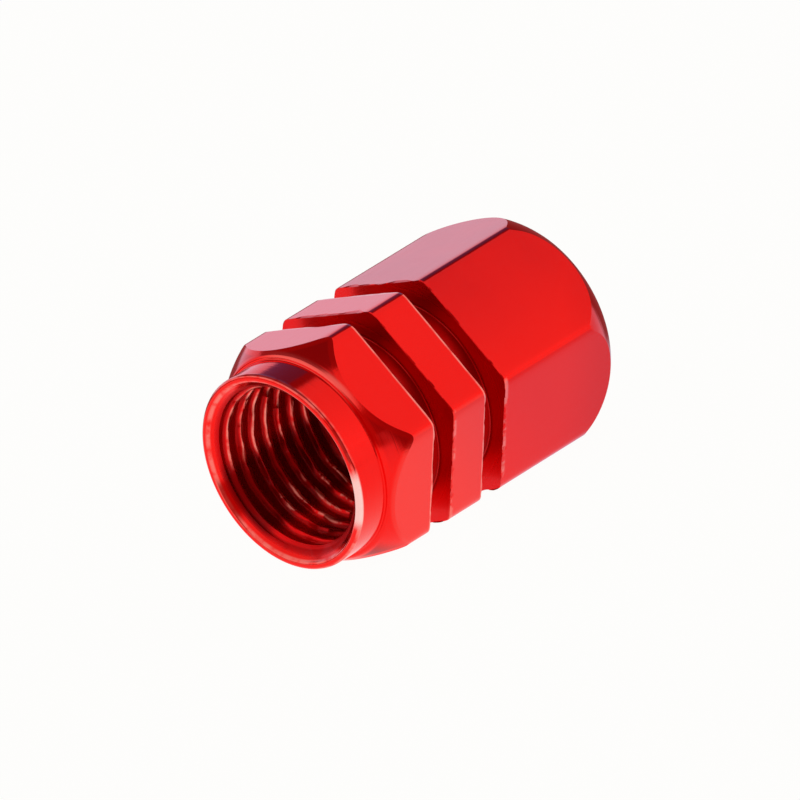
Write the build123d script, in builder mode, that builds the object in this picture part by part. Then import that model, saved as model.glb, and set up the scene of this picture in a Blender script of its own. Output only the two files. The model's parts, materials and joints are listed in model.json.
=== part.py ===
# Hexagonal tyre valve cap, turned in one piece from a bar of aluminium.
# It lies on one of its flats: +X runs along the cap from the mouth to the closed end, +Z is up,
# and the origin is at the middle of the cap's length, on the surface that it lies on.
import os
from math import radians, sqrt, tan

from build123d import *

os.makedirs("parts", exist_ok=True)

# Hexagonal bar
length = 16.0
across_flats = 9.7
corner_radius = 0.55

# Round collar at the mouth, with a shoulder behind it and the cone that chamfers the hexagon
collar_diameter = 9.0
collar_length = 1.55
rim_radius = 0.2
root_radius = 0.1
shoulder_diameter = 9.36
shoulder_edge_radius = 0.06
cone_angle = 27.0

# Two turned grooves, with a band of the hexagon between them
front_groove_start = 4.2
groove_width = 1.2
middle_band_length = 2.05
groove_diameter = 8.2
edge_break = 0.08

# Crown turned over the closed end
crown_length = 2.7
end_face_diameter = 8.8
end_edge_radius = 0.5

# Bore for the valve's thread, at its tapping size, with the drill's point at its foot
bore_diameter = 7.2
bore_depth = 10.0
drill_point_angle = 118.0
countersink_diameter = 8.1
countersink_angle = 90.0

# Sizes that follow from the ones above
# The bar's radius reaches out to the hexagon's corners as they are before rounding.
collar_radius = collar_diameter / 2
shoulder_radius = shoulder_diameter / 2
groove_radius = groove_diameter / 2
bore_radius = bore_diameter / 2
countersink_radius = countersink_diameter / 2
bar_radius = across_flats / sqrt(3)
cone_end = collar_length + (bar_radius - shoulder_radius) / tan(radians(cone_angle))
rear_groove_start = front_groove_start + groove_width + middle_band_length
countersink_depth = (countersink_radius - bore_radius) / tan(radians(countersink_angle / 2))
drill_point_depth = bore_radius / tan(radians(drill_point_angle / 2))

# The mouth's plane looks along the cap, with its x axis level, through two of the hexagon's corners.
# The section's plane has x along the cap from the mouth, and y out from the cap's own axis.
mouth = (-length / 2, 0, across_flats / 2)
mouth_plane = Plane(origin=mouth, x_dir=(0, 1, 0), z_dir=(1, 0, 0))
section_plane = Plane(origin=mouth, x_dir=(1, 0, 0), z_dir=(0, -1, 0))
cap_axis = Axis(mouth, (1, 0, 0))

with BuildPart() as valve_cap:
    # The bar, with its corners rounded
    with BuildSketch(mouth_plane) as bar_section:
        RegularPolygon(across_flats / 2, 6, major_radius=False)
        fillet(bar_section.vertices(), corner_radius)
    extrude(amount=length)

    # What the lathe leaves of it: collar, shoulder, cone, crown and end face
    with BuildSketch(section_plane) as envelope:
        with BuildLine():
            FilletPolyline(
                (0, 0),
                (0, collar_radius),
                (collar_length, collar_radius),
                (collar_length, shoulder_radius),
                (cone_end, bar_radius),
                radius=(rim_radius, root_radius, shoulder_edge_radius),
            )
            Line((cone_end, bar_radius), (length - crown_length, bar_radius))
            TangentArc(
                (length - crown_length, bar_radius),
                (length, end_face_diameter / 2),
                tangent=(1, 0),
            )
            Polyline((length, end_face_diameter / 2), (length, 0), (0, 0))
        make_face()
        end_edge = envelope.vertices().group_by(Axis.X)[-1].sort_by(Axis.Y)[-1]
        fillet(end_edge, end_edge_radius)
    revolve(axis=cap_axis, mode=Mode.INTERSECT)

    # The grooves, with the hexagon's edges broken where they cross it
    with BuildSketch(section_plane):
        with Locations((front_groove_start, groove_radius), (rear_groove_start, groove_radius)):
            Rectangle(groove_width, bar_radius - groove_radius, align=(Align.MIN, Align.MIN))
    revolve(axis=cap_axis, mode=Mode.SUBTRACT)
    groove_walls = valve_cap.faces().filter_by(Axis.X).sort_by(Axis.X)[1:-1]
    chamfer([wall.outer_wire().edges() for wall in groove_walls], edge_break)

    # The bore, countersunk at the mouth
    with BuildSketch(section_plane):
        with BuildLine():
            Polyline(
                (0, 0),
                (0, countersink_radius),
                (countersink_depth, bore_radius),
                (bore_depth, bore_radius),
                (bore_depth + drill_point_depth, 0),
                close=True,
            )
        make_face()
    revolve(axis=cap_axis, mode=Mode.SUBTRACT)

valve_cap.part.label = "valve_cap"
export_step(valve_cap.part, "parts/valve_cap.step")
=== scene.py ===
import json
from math import acos, atan2, cos, degrees, hypot, pi, radians, sin, sqrt, tan
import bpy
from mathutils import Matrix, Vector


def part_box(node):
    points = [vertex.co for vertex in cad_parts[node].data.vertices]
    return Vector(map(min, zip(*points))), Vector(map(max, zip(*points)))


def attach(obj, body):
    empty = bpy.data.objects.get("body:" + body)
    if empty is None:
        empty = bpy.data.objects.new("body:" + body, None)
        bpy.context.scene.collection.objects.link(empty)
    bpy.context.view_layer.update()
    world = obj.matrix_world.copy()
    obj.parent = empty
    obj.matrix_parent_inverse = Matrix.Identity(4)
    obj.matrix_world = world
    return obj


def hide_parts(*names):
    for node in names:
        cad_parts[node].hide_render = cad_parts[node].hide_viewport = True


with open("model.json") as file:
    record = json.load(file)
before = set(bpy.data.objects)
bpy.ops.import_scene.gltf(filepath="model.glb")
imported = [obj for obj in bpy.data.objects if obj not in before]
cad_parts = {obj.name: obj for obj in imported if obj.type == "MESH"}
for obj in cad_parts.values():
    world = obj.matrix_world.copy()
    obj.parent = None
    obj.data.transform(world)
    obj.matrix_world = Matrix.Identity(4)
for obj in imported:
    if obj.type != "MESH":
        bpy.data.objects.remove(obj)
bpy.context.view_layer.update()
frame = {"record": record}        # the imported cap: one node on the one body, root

from types import SimpleNamespace

import bpy
from mathutils import Matrix, Vector, noise

scene = bpy.context.scene
scene.view_settings.view_transform = "Standard"

millimetre = 0.001
capLow, capHigh = (Vector(corner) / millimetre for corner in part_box("valve_cap"))
capLength = capHigh.x - capLow.x
acrossFlats = capHigh.z - capLow.z
mouthCentre = Vector((capLow.x, 0, acrossFlats / 2))
threadMount = next(m for m in frame["record"]["mounts"] if m["name"] == "valve_thread")
boreRadius = threadMount["dims"]["r_mm"]
boreDepth = threadMount["pos_m"][0] / millimetre - capLow.x + threadMount["dims"]["length_mm"]
barRadius = acrossFlats / sqrt(3)        # out to the hexagon's sharp corners
print("frame: cap", round(capLength, 2), "long,", round(acrossFlats, 2), "across flats")


# Modelling helpers. The cap is modelled in millimetres, its axis along X from the mouth at the origin.

mergeWithin = 1e-5


def selectOnly(piece):
    bpy.ops.object.select_all(action="DESELECT")
    piece.select_set(True)
    bpy.context.view_layer.objects.active = piece


def editEdges(piece, wanted):        # goes into edit mode with the wanted edges selected
    selectOnly(piece)
    bpy.ops.object.mode_set(mode="EDIT")
    bpy.ops.mesh.select_mode(type="EDGE")
    bpy.ops.mesh.select_all(action="DESELECT")
    bpy.ops.object.mode_set(mode="OBJECT")
    points = piece.data.vertices
    for edge in piece.data.edges:
        edge.select = wanted(*(points[i].co for i in edge.vertices))
    bpy.ops.object.mode_set(mode="EDIT")


def addOutline(name, corners):        # a chain of edges through (along, out) corners, drawn above the axis
    bpy.ops.object.select_all(action="DESELECT")
    bpy.ops.mesh.primitive_plane_add(size=1, location=(0, 0, 0))
    piece = bpy.context.object
    piece.name = name
    bpy.ops.object.mode_set(mode="EDIT")
    bpy.ops.mesh.select_mode(type="VERT")
    bpy.ops.mesh.select_all(action="SELECT")
    bpy.ops.mesh.merge(type="CENTER")
    bpy.ops.mesh.select_all(action="SELECT")
    bpy.ops.transform.translate(value=(corners[0][0], 0, corners[0][1]))
    for before, after in zip(corners, corners[1:]):
        step = (after[0] - before[0], 0, after[1] - before[1])
        bpy.ops.mesh.extrude_region_move(TRANSFORM_OT_translate={"value": step})
    return piece


def turn(piece, steps):        # spins the outline in edit mode round the cap's axis
    bpy.ops.mesh.select_all(action="SELECT")
    bpy.ops.mesh.spin(steps=steps, angle=2 * pi, center=(0, 0, 0), axis=(1, 0, 0))
    bpy.ops.mesh.select_all(action="SELECT")
    bpy.ops.mesh.remove_doubles(threshold=mergeWithin)
    bpy.ops.mesh.normals_make_consistent(inside=False)
    bpy.ops.object.mode_set(mode="OBJECT")


def carve(piece, tool, operation):
    selectOnly(piece)
    modifier = piece.modifiers.new(operation.lower(), "BOOLEAN")
    modifier.operation = operation
    modifier.solver = "EXACT"
    modifier.object = tool
    bpy.ops.object.modifier_apply(modifier=modifier.name)
    bpy.data.objects.remove(tool, do_unlink=True)


def arc(centre, radius, start, end, steps):        # points of a round, in degrees from straight along the cap
    angles = [radians(start + (end - start) * i / steps) for i in range(steps + 1)]
    return [(centre[0] + radius * cos(a), centre[1] + radius * sin(a)) for a in angles]


# The hexagonal bar. Its flats roll over into its corners, as tumbling leaves them.

barSettings = {"rollFromCorner": 2.7, "cornerSharpness": 0.935, "rollSteps": 64, "spare": 1.0}


def makeBar():
    s = barSettings
    bpy.ops.object.select_all(action="DESELECT")
    bpy.ops.mesh.primitive_cylinder_add(
        vertices=6, radius=barRadius, depth=capLength + 2 * s["spare"],
        location=(capLength / 2, 0, 0), rotation=(0, pi / 2, 0))
    bar = bpy.context.object
    bar.name = "valveCap"
    bpy.ops.object.transform_apply(location=True, rotation=True, scale=True)
    editEdges(bar, lambda a, b: abs(a.x - b.x) > capLength)
    bpy.ops.mesh.bevel(
        offset_type="OFFSET", offset=s["rollFromCorner"], segments=s["rollSteps"],
        profile=s["cornerSharpness"], affect="EDGES")
    bpy.ops.object.mode_set(mode="OBJECT")
    return bar


# What the lathe leaves of the bar: collar, cone, grooves, crown and bore

turnedSettings = {
    "collarRadius": 4.5, "collarLength": 1.55, "rimRadius": 0.16, "rootRadius": 0.06,
    "shoulderRadius": 4.67, "shoulderRound": 0.2, "coneStartAngle": 40, "coneEndAngle": 18, "coneSteps": 16,
    "grooveStarts": (4.2, 7.45), "grooveWidth": 1.2, "grooveRadius": 4.1, "grooveRound": 0.08,
    "crownLength": 2.7, "endRadius": 4.4, "endRound": 0.5, "crownSteps": 28,
    "mouthRadius": 4.2, "mouthRound": 0.16, "drillAngle": 118, "roundSteps": 6, "turnSteps": 192,
    "clear": 0.15,        # how far the blank stands clear of the bar where the lathe doesn't touch it
}


def crownOutline(s):        # the closed end, from the axis over the end's round and along the crown
    drop = barRadius - s["endRadius"]
    radius = (s["crownLength"] ** 2 + drop ** 2) / (2 * drop)
    centre = (capLength - s["crownLength"], barRadius - radius)
    meeting = acos((s["crownLength"] - s["endRound"]) / (radius - s["endRound"]))
    roundCentre = (capLength - s["endRound"], centre[1] + (radius - s["endRound"]) * sin(meeting))
    points = [(capLength, 0)]
    points += arc(roundCentre, s["endRound"], 0, degrees(meeting), s["roundSteps"])
    points += arc(centre, radius, degrees(meeting), 90, s["crownSteps"])[1:]
    return points


def grooveOutline(s, start, clear):        # one groove, from its far wall to its near one
    r = s["grooveRound"]
    stop = start + s["grooveWidth"]
    points = [(stop, clear)]
    points += arc((stop - r, s["grooveRadius"] + r), r, 0, -90, s["roundSteps"] // 2)
    points += arc((start + r, s["grooveRadius"] + r), r, 270, 180, s["roundSteps"] // 2)
    points += [(start, clear)]
    return points


def coneOutline(s):        # the rounded cone that chamfers the hexagon, from its far end down to the shoulder
    start, end = s["coneStartAngle"], s["coneEndAngle"]
    clear = barRadius + s["clear"]
    radius = (clear - s["shoulderRadius"]) / (cos(radians(end)) - cos(radians(start)))
    centreAlong = s["collarLength"] + radius * sin(radians(start))
    centreOut = s["shoulderRadius"] - radius * cos(radians(start))
    return arc((centreAlong, centreOut), radius, 90 + end, 90 + start, s["coneSteps"])[:-1]


def mouthOutline(s):        # cone and collar, over the rim and into the bore
    rim = s["rimRadius"]
    root = s["rootRadius"]
    edge = s["shoulderRound"]
    inner = s["mouthRound"]
    lean = s["coneStartAngle"]
    points = coneOutline(s)
    points += arc((s["collarLength"] + edge, s["shoulderRadius"] - edge * tan(radians(45 - lean / 2))),
                  edge, 90 + lean, 180, s["roundSteps"])
    points += arc((s["collarLength"] - root, s["collarRadius"] + root), root, 0, -90, s["roundSteps"])
    points += arc((rim, s["collarRadius"] - rim), rim, 90, 180, s["roundSteps"])
    points += arc((inner, s["mouthRadius"] + inner * tan(pi / 8)), inner, 180, 225, s["roundSteps"] // 2)
    points += [(s["mouthRadius"] - boreRadius, boreRadius), (boreDepth, boreRadius)]
    points += [(boreDepth + boreRadius / tan(radians(s["drillAngle"] / 2)), 0)]
    return points


def makeTurned():
    s = turnedSettings
    clear = barRadius + s["clear"]
    points = crownOutline(s)
    points += [(capLength - s["crownLength"], clear)]
    for start in sorted(s["grooveStarts"], reverse=True):
        points += grooveOutline(s, start, clear)
    points += mouthOutline(s)
    piece = addOutline("turned", points)
    turn(piece, s["turnSteps"])
    return piece


# The grooves' edges: a small chamfer, wavy from the tool, with torn nicks on some sides

edgeSettings = {
    "frontChamfer": 0.035, "backChamfer": 0.06, "wave": 0.3, "wavesPerMm": 0.9,
    "nick": 0.45, "nicksPerMm": 2.8, "nickFrom": 0.1,        # from this much noise on, the edge is torn
    "backShare": 1 / 3,        # how much of this the edges in front of a groove have
    "cornerFade": 4,        # degrees from a corner of the hexagon within which the edge runs true
    "waveBySide": (0.6, 1.0, 0.15, 0.5, 0.6, 0.6),        # sides counted round the axis from +Y towards +Z
    "nickBySide": (0.3, 0.2, 0.1, 1.0, 0.4, 0.3),
}


def chamferWalls(piece, walls, chamfer):        # breaks the hexagon's edge along these walls of the grooves
    s = edgeSettings
    outside = (turnedSettings["grooveRadius"] + acrossFlats / 2) / 2

    def onWall(p, reach=1e-4):
        return hypot(p.y, p.z) > outside and min(abs(p.x - wall) for wall in walls) < reach

    editEdges(piece, lambda a, b: onWall(a) and onWall(b))
    bpy.ops.mesh.bevel(offset_type="OFFSET", offset=chamfer, segments=1, affect="EDGES")
    bpy.ops.mesh.region_to_loop()
    bpy.ops.mesh.mark_sharp()
    bpy.ops.object.mode_set(mode="OBJECT")
    for point in piece.data.vertices:
        p = point.co
        wall = min(walls, key=lambda place: abs(p.x - place))
        away = p.x - wall
        if not onWall(p, chamfer * 1.5) or abs(away) < chamfer / 2:
            continue
        side, place = divmod(degrees(atan2(p.z, p.y)) % 360, 60)
        inside = min(1, min(place, 60 - place) / s["cornerFade"])
        spot = Vector((wall, p.y, p.z))
        wave = s["wave"] * s["waveBySide"][int(side)] * inside
        wave *= noise.fractal(spot * s["wavesPerMm"], 1, 2, 2)
        torn = s["nick"] * s["nickBySide"][int(side)] * inside
        torn *= max(0, noise.noise(spot * s["nicksPerMm"]) - s["nickFrom"])
        p.x += wave + torn if away > 0 else (wave - torn / 2) * s["backShare"]


def breakGrooveEdges(piece):
    starts = turnedSettings["grooveStarts"]
    ends = [start + turnedSettings["grooveWidth"] for start in starts]
    chamferWalls(piece, starts, edgeSettings["backChamfer"])
    chamferWalls(piece, ends, edgeSettings["frontChamfer"])


# The thread, cut by a worm of its groove's section wound into the bore

threadSettings = {
    "pitch": 25.4 / 32, "rootRadius": 3.82, "crestWidth": 0.14, "crestRound": 0.09, "rootRound": 0.12,
    "flankAngle": 30, "phase": -0.25, "innerRadius": 3.4, "roundSteps": 4, "turnsOutside": 2, "turns": 14,
    "turnSteps": 96, "tear": 0.11, "tearsPerMm": 1.1, "tearFrom": 0.75, "margin": 0.01, "sliver": 0.004,
}


def threadSection(s):        # the groove's section, (along, out), from the mouth's side over its root
    lean = s["flankAngle"]
    slope = tan(radians(lean))
    fold = tan(radians(45 - lean / 2))        # a round's reach along either side of the corner it takes off
    halfCrest = (s["pitch"] - s["crestWidth"]) / 2
    halfRoot = halfCrest - (s["rootRadius"] - boreRadius) * slope
    crest = arc((halfCrest + s["crestRound"] * fold, boreRadius + s["crestRound"]),
                s["crestRound"], 270, 180 + lean, s["roundSteps"])
    root = arc((halfRoot - s["rootRound"] * fold, s["rootRadius"] - s["rootRound"]),
               s["rootRound"], lean, 90, s["roundSteps"])
    side = [(crest[0][0], s["innerRadius"])] + crest + root
    return [(-along, out) for along, out in side] + side[::-1]


def makeThreadWorm():
    s = threadSettings
    start = s["phase"] - s["turnsOutside"] * s["pitch"]
    section = [(start + along, out) for along, out in threadSection(s)]
    worm = addOutline("threadWorm", section)
    bpy.ops.mesh.select_all(action="SELECT")
    bpy.ops.mesh.edge_face_add()
    bpy.ops.mesh.delete(type="ONLY_FACE")
    bpy.ops.object.mode_set(mode="OBJECT")
    screw = worm.modifiers.new("wind", "SCREW")
    screw.axis = "X"
    screw.angle = 2 * pi
    screw.screw_offset = s["pitch"]
    screw.iterations = s["turns"]
    screw.steps = s["turnSteps"]
    screw.render_steps = s["turnSteps"]
    bpy.ops.object.modifier_apply(modifier="wind")
    bpy.ops.object.mode_set(mode="EDIT")
    bpy.ops.mesh.select_all(action="SELECT")
    bpy.ops.mesh.fill_holes(sides=0)
    bpy.ops.mesh.select_all(action="SELECT")
    bpy.ops.mesh.normals_make_consistent(inside=False)
    bpy.ops.object.mode_set(mode="OBJECT")
    return worm


def cleanCut(piece):        # merges the slivers that are left where the thread runs out
    selectOnly(piece)
    bpy.ops.object.mode_set(mode="EDIT")
    bpy.ops.mesh.select_all(action="SELECT")
    bpy.ops.mesh.remove_doubles(threshold=threadSettings["sliver"])
    bpy.ops.mesh.dissolve_degenerate(threshold=threadSettings["sliver"])
    bpy.ops.object.mode_set(mode="OBJECT")


def tearThread(piece):        # the tap leaves the thread a little torn
    s = threadSettings
    for point in piece.data.vertices:
        p = point.co
        out = hypot(p.y, p.z)
        inThread = boreRadius - s["margin"] < out < s["rootRadius"] + s["margin"]
        if inThread and s["tearFrom"] < p.x < boreDepth - s["pitch"]:
            shift = s["tear"] * noise.fractal(p * s["tearsPerMm"], 1, 2, 3)
            p.x += shift
            p.yz *= 1 + max(0, shift) / out


capSettings = {"sharpFrom": 20}        # degrees, so that the thread's run-out on the chamfer stays sharp

cap = makeBar()
print("bar:", len(cap.data.polygons), "faces")
carve(cap, makeTurned(), "INTERSECT")
print("turned:", len(cap.data.polygons), "faces")
carve(cap, makeThreadWorm(), "DIFFERENCE")
cleanCut(cap)
tearThread(cap)
print("thread:", len(cap.data.polygons), "faces")
breakGrooveEdges(cap)
print("groove edges:", len(cap.data.polygons), "faces")

cap.matrix_world = Matrix.Translation(mouthCentre * millimetre) @ Matrix.Scale(millimetre, 4)
selectOnly(cap)
bpy.ops.object.transform_apply(location=True, rotation=True, scale=True)
bpy.ops.object.shade_smooth_by_angle(angle=radians(capSettings["sharpFrom"]))
evenShading = cap.modifiers.new("evenShading", "WEIGHTED_NORMAL")        # flats look flat up to their edges
evenShading.keep_sharp = True
bpy.ops.object.modifier_apply(modifier=evenShading.name)
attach(cap, "root")
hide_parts("valve_cap")


# Shader maths: a socket of a node tree, with an operator for each kind of Math node that is used

class Wire:
    def __init__(self, tree, socket=None):
        self.tree = tree
        self.socket = socket

    def node(self, kind, settings=None, inputs=None, output=0):        # settings are set before the sockets
        made = self.tree.nodes.new("ShaderNode" + kind)
        for name, value in (settings or {}).items():
            setattr(made, name, value)
        for name, value in (inputs or {}).items():
            if isinstance(value, Wire):
                self.tree.links.new(value.socket, made.inputs[name])
            else:
                made.inputs[name].default_value = value
        return Wire(self.tree, made.outputs[output])

    def maths(self, operation, *values):
        return self.node("Math", {"operation": operation}, dict(enumerate(values)))

    def __add__(self, other):
        return self.maths("ADD", self, other)

    def __radd__(self, other):
        return self.maths("ADD", other, self)

    def __sub__(self, other):
        return self.maths("SUBTRACT", self, other)

    def __rsub__(self, other):
        return self.maths("SUBTRACT", other, self)

    def __mul__(self, other):
        return self.maths("MULTIPLY", self, other)

    def __rmul__(self, other):
        return self.maths("MULTIPLY", other, self)

    def __truediv__(self, other):
        return self.maths("DIVIDE", self, other)

    def __pow__(self, other):
        return self.maths("POWER", self, other)

    def __abs__(self):
        return self.maths("ABSOLUTE", self)

    def above(self, low, high):        # 0 below low, 1 above high, smooth between
        return self.node("MapRange", {"interpolation_type": "SMOOTHSTEP"},
                         {"Value": self, "From Min": low, "From Max": high})

    def below(self, low, high):        # 1 below low, 0 above high, smooth between
        return 1 - self.above(low, high)

    def greater(self, other):
        return self.maths("MAXIMUM", self, other)

    def split(self):
        return [self.node("SeparateXYZ", None, {0: self}, axis) for axis in range(3)]

    def joined(self, x, y, z):
        return self.node("CombineXYZ", None, {0: x, 1: y, 2: z})

    def mottle(self, vector, scale, detail, roughness):
        return self.node("TexNoise", None, {
            "Vector": vector, "Scale": scale, "Detail": detail, "Roughness": roughness})

    def tint(self, amount, first, second):        # a colour between two others
        return self.node("Mix", {"data_type": "RGBA"}, {0: amount, 6: first, 7: second}, 2)


# Red anodised aluminium: drawn flats and turned rounds, with painted shade in the grooves and bore and on
# sides turned from the light, wear on edges, and painted highlights, glints and sheen on rim, shoulder,
# thread crests and the collar's underside.
# A pair of numbers is where a mask's slope begins and ends: in millimetres along the cap from its mouth, or
# up or out from its axis, in values of a noise, or in heights, 1 at the top of the cap and -1 below it.
# A side is a direction out from the axis, +Y and +Z, then the cosines where its mask begins and is full.

# Past the first red, the colours are darker reds for painted shade, a pale red for wear and painted
# highlights, and paler reds for painted glints and a painted rim highlight.
redSettings = {
    "red": (0.95, 0.013, 0.010, 1), "deepRed": (0.73, 0.010, 0.010, 1), "darkFilm": (0.84, 0.006, 0.007, 1),
    "rootFilm": (0.66, 0.004, 0.005, 1), "grooveFilm": (0.47, 0.005, 0.005, 1),
    "duskyFilm": (0.22, 0.001, 0.002, 1), "thinFilm": (0.98, 0.33, 0.27, 1),
    "crestFilm": (1.0, 0.31, 0.24, 1), "bareMetal": (1.0, 0.74, 0.68, 1),
    "roughness": 0.13, "roughnessSwing": 0.05, "coat": 0.08, "coatRoughness": 0.05,
    "darkRoughness": 0.16, "boreRoughness": 0.06, "rootRoughness": 0.25, "tornRoughness": 0.2,        # added
    "drawn": (7.0, 3.0, 0.6), "turned": (11.0, 2.0, 0.6),        # noises: scale, detail and roughness
    "cloud": (0.45, 3.0, 0.5), "speckle": (1.6, 4.0, 0.6),
    "drawnStretch": 0.12, "bumpDistance": 0.000004,
    "flatsFrom": (4.66, 4.74),
    "lowFlat": (-0.866, -0.5), "lowFlatFrom": (4.7, 4.8),        # a direction, +Y and +Z: the most torn flat
    "bodyFrom": (7.0, 9.0), "deepFrom": (-0.5, 4.6), "deepCloud": 0.6,
    "deepConeAbove": (-0.3, 0.2), "deepEndFrom": (12.0, 16.0), "deepEnd": 0.7,
    "coneFrom": (1.65, 1.75), "coneTo": (3.4, 3.8), "duskyConeBelow": (-0.95, -0.84), "coneDusk": 0.7,
    "collarTo": (1.4, 1.5), "collarFrom": (4.4, 4.45), "collarBelow": (-0.7, -0.2), "paleFilm": 0.07,
    "shoulderFrom": (1.52, 1.56), "shoulderTo": (1.66, 1.8),
    "shoulderSide": (-0.5, 0.866, 0.78, 0.97), "shoulderWear": 0.3,
}

# The bore: painted shade in it, in its thread's roots and on one side, and painted glints on its crests.
boreShadeAndGlintSettings = {
    "within": (3.95, 4.0), "from": (0.15, 0.4), "to": (14.0, 14.5),
    "rootsFrom": (0.09, 0.17),        # out from the bore's radius, as for the crests
    "crestsFrom": (-0.08, -0.03), "crestsTo": (0.05, 0.11),
    "crestSpeckle": (0.3, 0.62), "wornAbove": (0.0, 0.15), "crestWear": 0.95,
    "tornSide": (0.62, -0.785, 0.88, 0.96), "tornSpeckle": (0.47, 0.57),
    "tornFrom": (1.5, 2.4), "tornWear": 0.75,
    "duskySide": (0.93, -0.37, 0.84, 0.95), "dusk": 0.9,
}

# The grooves: painted shade in them, on their floors and on their broken edges, and wear along their edges.
grooveShadeAndWearSettings = {
    "blend": 0.01, "from": (4.0, 4.05), "floorTo": (4.18, 4.3),
    "brokenBelow": (-0.02, -0.005),        # out from the flats
    "brokenTo": (0.3, 0.35), "cornerFrom": (5.2, 5.35),
    "backEdgeFrom": (-0.16, -0.11), "backSpeckle": (0.2, 0.6),        # from the groove's start
    "frontEdgeFrom": (0.0, 0.02), "frontEdgeTo": (0.1, 0.24),        # from its end
    "frontSpeckle": (0.45, 0.6), "frontWear": 0.6, "wear": 0.75,
}

# The rim: wear and painted highlights on its edges, and a painted highlight on one side.
rimWearAndGlintSettings = {
    "to": (0.12, 0.25), "from": (4.05, 4.12), "outerEdge": (4.38, 4.44), "innerEdge": (4.18, 4.24),
    "rings": (0.5, 0.6), "ringWear": 0.6, "speckle": (0.3, 0.6), "wear": 0.5,
    "bareSide": (-0.93, -0.37, 0.94, 0.985), "bare": 0.75,
}


def capPlaces(start, s):        # where a point of the cap is, and the noises there
    at = SimpleNamespace()
    x, y, z = start.node("TexCoord", None, None, "Object").split()
    at.along = (x - capLow.x * millimetre) / millimetre
    at.level = y / millimetre
    at.rise = z / millimetre - acrossFlats / 2
    at.out = (at.level * at.level + at.rise * at.rise) ** 0.5
    at.height = at.rise / at.out
    leftRight = at.level * cos(radians(30))
    upDown = at.rise * sin(radians(30))
    at.flatness = abs(at.rise).greater(abs(leftRight + upDown)).greater(abs(leftRight - upDown))
    at.flats = at.flatness.above(*s["flatsFrom"])
    at.lowFlat = (at.level * s["lowFlat"][0] + at.rise * s["lowFlat"][1]).above(*s["lowFlatFrom"])
    spot = start.joined(at.along, at.level, at.rise)
    at.drawn = start.mottle(start.joined(at.along * s["drawnStretch"], at.level, at.rise), *s["drawn"])
    at.turned = start.mottle(start.joined(at.along, at.out, 0.0), *s["turned"])
    at.cloud = start.mottle(spot, *s["cloud"])
    at.speckle = start.mottle(spot, *s["speckle"])
    return at


def towards(at, y, z, low, high):        # 1 on one side of the cap, 0 away from it
    return ((at.level * y + at.rise * z) / at.out).above(low, high)


def boreMasks(at, s):        # the bore and the thread's roots, for painted shade; painted glints on the upper crests and on torn crests at one side; and a side of painted shade
    fromBore = at.out - boreRadius
    inBore = at.out.below(*s["within"]) * at.along.above(*s["from"]) * at.along.below(*s["to"])
    roots = inBore * fromBore.above(*s["rootsFrom"])
    crests = inBore * fromBore.above(*s["crestsFrom"]) * fromBore.below(*s["crestsTo"])
    # Painted glints: on the crests' upper side, and on torn crests at one side deeper in.
    wearAndGlint = crests * at.speckle.above(*s["crestSpeckle"]) * at.height.above(*s["wornAbove"]) * s["crestWear"]
    torn = crests * towards(at, *s["tornSide"]) * at.speckle.above(*s["tornSpeckle"])
    torn = torn * at.along.above(*s["tornFrom"]) * s["tornWear"]
    # Painted shade on one side of the bore.
    shadedSide = inBore * towards(at, *s["duskySide"]) * s["dusk"]
    return inBore, roots, wearAndGlint, torn, shadedSide


def grooveMasks(at, s):        # painted shade in the grooves and on their broken edges, painted shade on their floors, and the wear along them
    blend = s["blend"]
    broken = at.flats * (at.flatness - acrossFlats / 2).below(*s["brokenBelow"])
    broken = broken * at.out.below(*s["cornerFrom"])
    dark = floors = wear = 0.0
    for groove in turnedSettings["grooveStarts"]:
        fromStart = at.along - groove
        fromEnd = fromStart - turnedSettings["grooveWidth"]
        inGroove = fromStart.above(-blend, 0.0) * fromEnd.below(0.0, blend) * at.out.above(*s["from"])
        brokenEdge = broken * fromEnd.above(-blend, 0.0) * fromEnd.below(*s["brokenTo"])
        backEdge = at.flats * fromStart.above(*s["backEdgeFrom"]) * fromStart.below(0.0, blend)
        frontEdge = at.lowFlat * fromEnd.above(*s["frontEdgeFrom"]) * fromEnd.below(*s["frontEdgeTo"])
        dark = inGroove.greater(brokenEdge).greater(dark)
        floors = inGroove * at.out.below(*s["floorTo"]) + floors
        wear = backEdge * at.speckle.above(*s["backSpeckle"]) + wear
        wear = frontEdge * at.speckle.above(*s["frontSpeckle"]) * s["frontWear"] + wear
    return dark, floors, wear * s["wear"]


def rimMasks(at, s):        # wear and painted highlights on the rim's edges and in rings between them, and a painted highlight on one side
    onRim = at.along.below(*s["to"]) * at.out.above(*s["from"])
    edges = at.out.above(*s["outerEdge"]).greater(at.out.below(*s["innerEdge"]))
    rings = at.turned.above(*s["rings"]) * s["ringWear"]
    wearAndGlint = onRim * edges.greater(rings) * at.speckle.above(*s["speckle"]) * s["wear"]
    return wearAndGlint, onRim * towards(at, *s["bareSide"]) * s["bare"]


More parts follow.
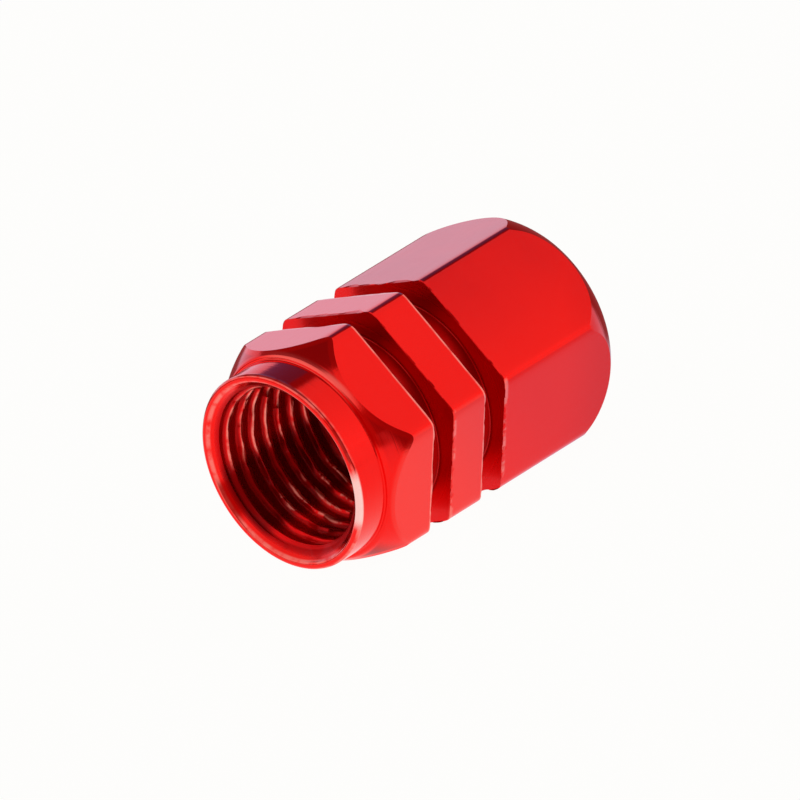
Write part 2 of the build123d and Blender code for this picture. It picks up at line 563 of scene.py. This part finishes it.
def makeRed(s):
    material = bpy.data.materials.new("redAnodised")
    material.use_nodes = True
    tree = material.node_tree
    start = Wire(tree)
    at = capPlaces(start, s)
    inBore, roots, crestGlints, tornCrestGlints, shadedBoreSide = boreMasks(at, boreShadeAndGlintSettings)
    inGrooves, grooveFloors, wornEdges = grooveMasks(at, grooveShadeAndWearSettings)
    rimWearAndGlint, rimGlint = rimMasks(at, rimWearAndGlintSettings)
    dark = inBore.greater(inGrooves)

    onBody = at.along.above(*s["bodyFrom"])
    onCone = at.along.above(*s["coneFrom"]) * at.along.below(*s["coneTo"]) * (1 - at.flats)
    # Painted shade under the cone.
    shadedConeUnderside = onCone * at.height.below(*s["duskyConeBelow"]) * s["coneDusk"]
    # Painted shade: the body darker towards its top, in a cloud noise, the cone darker on its upper side, and
    # the closed end darker.
    paintedShade = at.rise.above(*s["deepFrom"]) * (1 + at.cloud) * s["deepCloud"] * onBody
    paintedShade = paintedShade.greater(onCone * at.height.above(*s["deepConeAbove"]))
    paintedShade = paintedShade.greater(at.along.above(*s["deepEndFrom"]) * s["deepEnd"])
    onCollar = at.along.below(*s["collarTo"]) * at.out.above(*s["collarFrom"])
    # Painted sheen: paler on the collar's underside and on the bands of the lowest flat.
    paintedSheen = (at.lowFlat * (1 - onBody) + onCollar * at.height.below(*s["collarBelow"])) * s["paleFilm"]
    # Painted highlight on the shoulder's upper side.
    shoulder = at.along.above(*s["shoulderFrom"]) * at.along.below(*s["shoulderTo"])
    shoulderHighlight = shoulder * towards(at, *s["shoulderSide"]) * s["shoulderWear"]

    # Painted shade on the body's top, the cone's upper side and the closed end.
    red = start.tint(paintedShade, s["red"], s["deepRed"])
    # Painted shade in the bore, in the grooves and on the grooves' broken edges.
    red = start.tint(dark, red, s["darkFilm"])
    # Painted shade in the thread's roots.
    red = start.tint(roots, red, s["rootFilm"])
    # Painted shade on the groove floors.
    red = start.tint(grooveFloors, red, s["grooveFilm"])
    # Painted shade on one side of the bore and under the cone.
    red = start.tint(shadedBoreSide.greater(shadedConeUnderside), red, s["duskyFilm"])
    # A pale red: wear on the groove edges, wear and painted highlights on the rim's edges, a painted
    # highlight on the shoulder, and painted sheen on the collar's underside and the lowest flat's bands.
    red = start.tint(rimWearAndGlint.greater(shoulderHighlight).greater(wornEdges).greater(paintedSheen), red, s["thinFilm"])
    # Painted glints on the thread's crests.
    red = start.tint(crestGlints.greater(tornCrestGlints), red, s["crestFilm"])
    # Painted highlight on one side of the rim.
    red = start.tint(rimGlint, red, s["bareMetal"])

    grain = at.drawn * at.flats + at.turned * (1 - at.flats)
    rough = s["roughness"] + (grain - 0.5) * (2 * s["roughnessSwing"]) + dark * s["darkRoughness"]
    rough = rough + inBore * (s["boreRoughness"] + roots * s["rootRoughness"])
    rough = rough + tornCrestGlints * s["tornRoughness"]
    bump = start.node("Bump", None, {"Strength": 1.0, "Distance": s["bumpDistance"], "Height": grain})
    skin = tree.nodes["Principled BSDF"]
    for name, value in {"Base Color": red, "Roughness": rough, "Normal": bump}.items():
        tree.links.new(value.socket, skin.inputs[name])
    skin.inputs["Metallic"].default_value = 1
    skin.inputs["Coat Weight"].default_value = s["coat"]
    skin.inputs["Coat Roughness"].default_value = s["coatRoughness"]
    return material


cap.data.materials.clear()
cap.data.materials.append(makeRed(redSettings))
print("finish: red anodised aluminium")

# The stage: white paper under a light tent. In its reflections some sides are dim: the front, where the
# camera stands, the side before the mouth, the one past the closed end, and the foot of the far side.

stageSettings = {
    "front": (-0.25, -0.968), "beforeMouth": (-0.90, -0.44), "pastEnd": (0.95, 0.31),
    "mouthSector": (0.80, 0.92), "endSector": (0.88, 0.94),        # cosines where a sector begins and is full
    "dim": (0.42, 0.11, 0.10, 1), "darkRed": (0.30, 0.07, 0.07, 1),
}


def facing(x, y, direction, low, high):        # 1 inside a sector of the stage, 0 outside it
    return ((x * direction[0] + y * direction[1]) / (x * x + y * y) ** 0.5).above(low, high)


floorSettings = {        # places in metres
    "size": 6.0, "paper": (0.9, 0.9, 0.885, 1), "paperRoughness": 0.9,
    "white": (1.0, 0.998, 0.985, 1), "whiteness": 0.975,
    "whiteInMetal": (1.04, 1.04, 1.04, 1), "whiteByBody": (0.82, 0.98, 1.22, 1),
    "frontSector": (0.94, 0.98), "frontFrom": (0.016, 0.021),
    "mouthFrom": (0.026, 0.04), "endFrom": (0.012, 0.02),
    "farFrom": (0.012, 0.018), "farAlong": (-0.002, 0.004),
    "bodyFrom": (-0.016, -0.010), "bodyAlong": (-0.004, 0.006),
}


def makeFloor(s, stage):
    bpy.ops.object.select_all(action="DESELECT")
    bpy.ops.mesh.primitive_plane_add(size=s["size"], location=(0, 0, 0))
    floor = bpy.context.object
    floor.name = "floor"
    paper = bpy.data.materials.new("paper")
    paper.use_nodes = True
    tree = paper.node_tree
    sheet = tree.nodes["Principled BSDF"]
    sheet.inputs["Base Color"].default_value = s["paper"]
    sheet.inputs["Roughness"].default_value = s["paperRoughness"]
    sheet.inputs["Specular IOR Level"].default_value = 0
    start = Wire(tree)
    x, y = start.node("TexCoord", None, None, "Object").split()[:2]
    reach = (x * x + y * y) ** 0.5
    atFront = facing(x, y, stage["front"], *s["frontSector"]) * reach.above(*s["frontFrom"])
    beforeMouth = facing(x, y, stage["beforeMouth"], *stage["mouthSector"]) * reach.above(*s["mouthFrom"])
    pastEnd = facing(x, y, stage["pastEnd"], *stage["endSector"]) * reach.above(*s["endFrom"])
    atFar = y.above(*s["farFrom"]) * x.above(*s["farAlong"])
    besideBody = y.above(*s["bodyFrom"]) * x.above(*s["bodyAlong"])
    inMetal = start.node("LightPath", None, None, "Is Glossy Ray")
    seen = start.node("LightPath", None, None, "Is Camera Ray").greater(inMetal)
    reflected = start.tint(besideBody, s["whiteInMetal"], s["whiteByBody"])
    reflected = start.tint(pastEnd.greater(atFront).greater(atFar), reflected, stage["darkRed"])
    reflected = start.tint(beforeMouth, reflected, stage["dim"])
    colour = start.tint(inMetal, s["white"], reflected)
    glow = start.node("Emission", None, {"Color": colour, "Strength": 1.0})
    both = start.node("MixShader", None, {0: seen * s["whiteness"], 1: Wire(tree, sheet.outputs[0]), 2: glow})
    tree.links.new(both.socket, tree.nodes["Material Output"].inputs["Surface"])
    floor.data.materials.append(paper)


makeFloor(floorSettings, stageSettings)

# The light tent: bright walls, and a dark roof that comes lower on the far side

tentSettings = {        # heights and places are those of a direction of length 1
    "wall": (1.0, 0.97, 0.96, 1), "farWall": (0.80, 0.96, 1.20, 1), "white": (0.98, 0.978, 0.97, 1),
    "farFrom": (0.08, 0.22), "farTo": (0.25, 0.45), "frontSector": (0.87, 0.94), "mouthTo": (0.3, 0.45),
    "footFrom": (0.2, 0.4), "footTo": (0.10, 0.16),
    "roof": (0.33, 0.12, 0.14, 1), "blueRoof": (0.16, 0.22, 0.60, 1), "blueFrom": (0.35, 0.5),
    "roofFar": 0.55, "roofSides": 0.87, "edge": 0.025, "strength": 1.08, "fade": 0.3,
}


def makeTent(s, stage):
    world = bpy.data.worlds.new("lightTent")
    world.use_nodes = True
    tree = world.node_tree
    start = Wire(tree)
    x, y, z = start.node("TexCoord", None, None, "Generated").split()
    toFar = y.above(*s["farFrom"]) * (-1 * x).below(*s["farTo"])
    atFront = facing(x, y, stage["front"], *s["frontSector"])
    beforeMouth = facing(x, y, stage["beforeMouth"], *stage["mouthSector"]) * z.below(*s["mouthTo"])
    pastEnd = facing(x, y, stage["pastEnd"], *stage["endSector"])
    farFoot = y.above(*s["footFrom"]) * z.below(*s["footTo"])
    colour = start.tint(toFar, s["wall"], s["farWall"])
    colour = start.tint(pastEnd.greater(atFront).greater(farFoot), colour, stage["darkRed"])
    colour = start.tint(beforeMouth, colour, stage["dim"])
    roofFrom = s["roofSides"] + toFar * (s["roofFar"] - s["roofSides"])
    roof = start.tint(x.above(*s["blueFrom"]), s["roof"], s["blueRoof"])
    colour = start.tint((z - roofFrom).above(-s["edge"], s["edge"]), colour, roof)
    seen = start.node("LightPath", None, None, "Is Camera Ray")
    colour = start.tint(seen, colour, s["white"])
    strength = seen + (1 - seen) * (s["strength"] - z * s["fade"])
    for name, value in {"Color": colour, "Strength": strength}.items():
        tree.links.new(value.socket, tree.nodes["Background"].inputs[name])
    scene.world = world


makeTent(tentSettings, stageSettings)
print("stage: floor and light tent")

# Camera, as the photograph was taken: a long lens, turned a little about its own line of sight

cameraSettings = {
    "right": (0.66428739, -0.66424405, -0.34278582), "up": (0.41006781, -0.05957012, 0.91010757),
    "pixelsPerMm": 23.70, "middlePixel": (407.08, 394.82), "lens": 1000, "sensor": 36, "picture": 800,
}


def makeCamera(s):
    right = Vector(s["right"]).normalized()
    up = Vector(s["up"])
    up = (up - right * up.dot(right)).normalized()
    back = right.cross(up)
    data = bpy.data.cameras.new("camera")
    data.sensor_width = s["sensor"]
    data.lens = s["lens"]
    camera = bpy.data.objects.new("camera", data)
    scene.collection.objects.link(camera)
    distance = s["lens"] / s["sensor"] * s["picture"] / s["pixelsPerMm"]
    across = (s["middlePixel"][0] - s["picture"] / 2) / s["pixelsPerMm"]
    above = (s["picture"] / 2 - s["middlePixel"][1]) / s["pixelsPerMm"]
    middle = Vector((0, 0, acrossFlats / 2))
    place = (middle - right * across - up * above + back * distance) * millimetre
    camera.matrix_world = Matrix.Translation(place) @ Matrix((right, up, back)).transposed().to_4x4()
    scene.camera = camera


makeCamera(cameraSettings)
